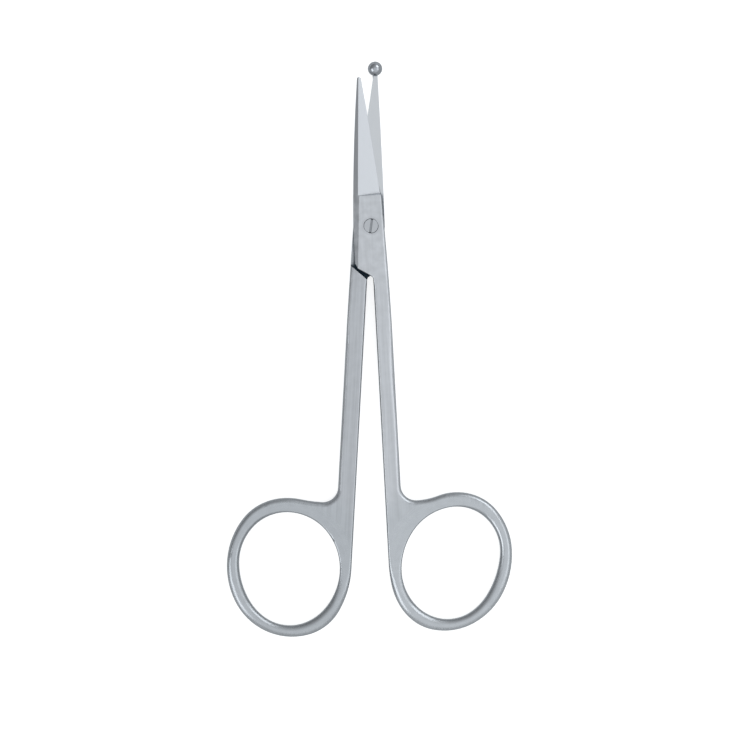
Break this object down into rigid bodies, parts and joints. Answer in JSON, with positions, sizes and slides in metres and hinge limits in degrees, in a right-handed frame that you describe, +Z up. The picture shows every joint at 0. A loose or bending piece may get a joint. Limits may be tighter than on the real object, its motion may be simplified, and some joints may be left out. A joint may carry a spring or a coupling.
{
  "type": "artery scissors",
  "caption": "Fine surgical scissors for opening arteries: slim straight blades, one sharp and one ending in a smooth ball, a slotted pivot screw, long slender shanks and oval finger rings.",
  "frame": {"origin": "on the pivot screw's axis, in the plane of the back half's lower face, on which the scissors lie", "axes": "+Z up along the pivot axis towards the screw's head, +Y towards the blades' tips, +X towards the front half's finger ring"},
  "size_m": [0.0569, 0.1149, 0.0032],
  "materials": {
    "front_half": "satin",
    "back_half": "satin",
    "pivot_screw": "satin"
  },
  "bodies": {
    "back": {"back_half": "back_half", "pivot_screw": "pivot_screw"},
    "front": {"front_half": "front_half"}
  },
  "joints": [
    {"name": "pivot", "type": "hinge", "parent": "back", "child": "front", "pos_m": [0, 0, 0.0016], "axis": [0, 0, 1], "range_deg": [-6.1, 120]}
  ]
}
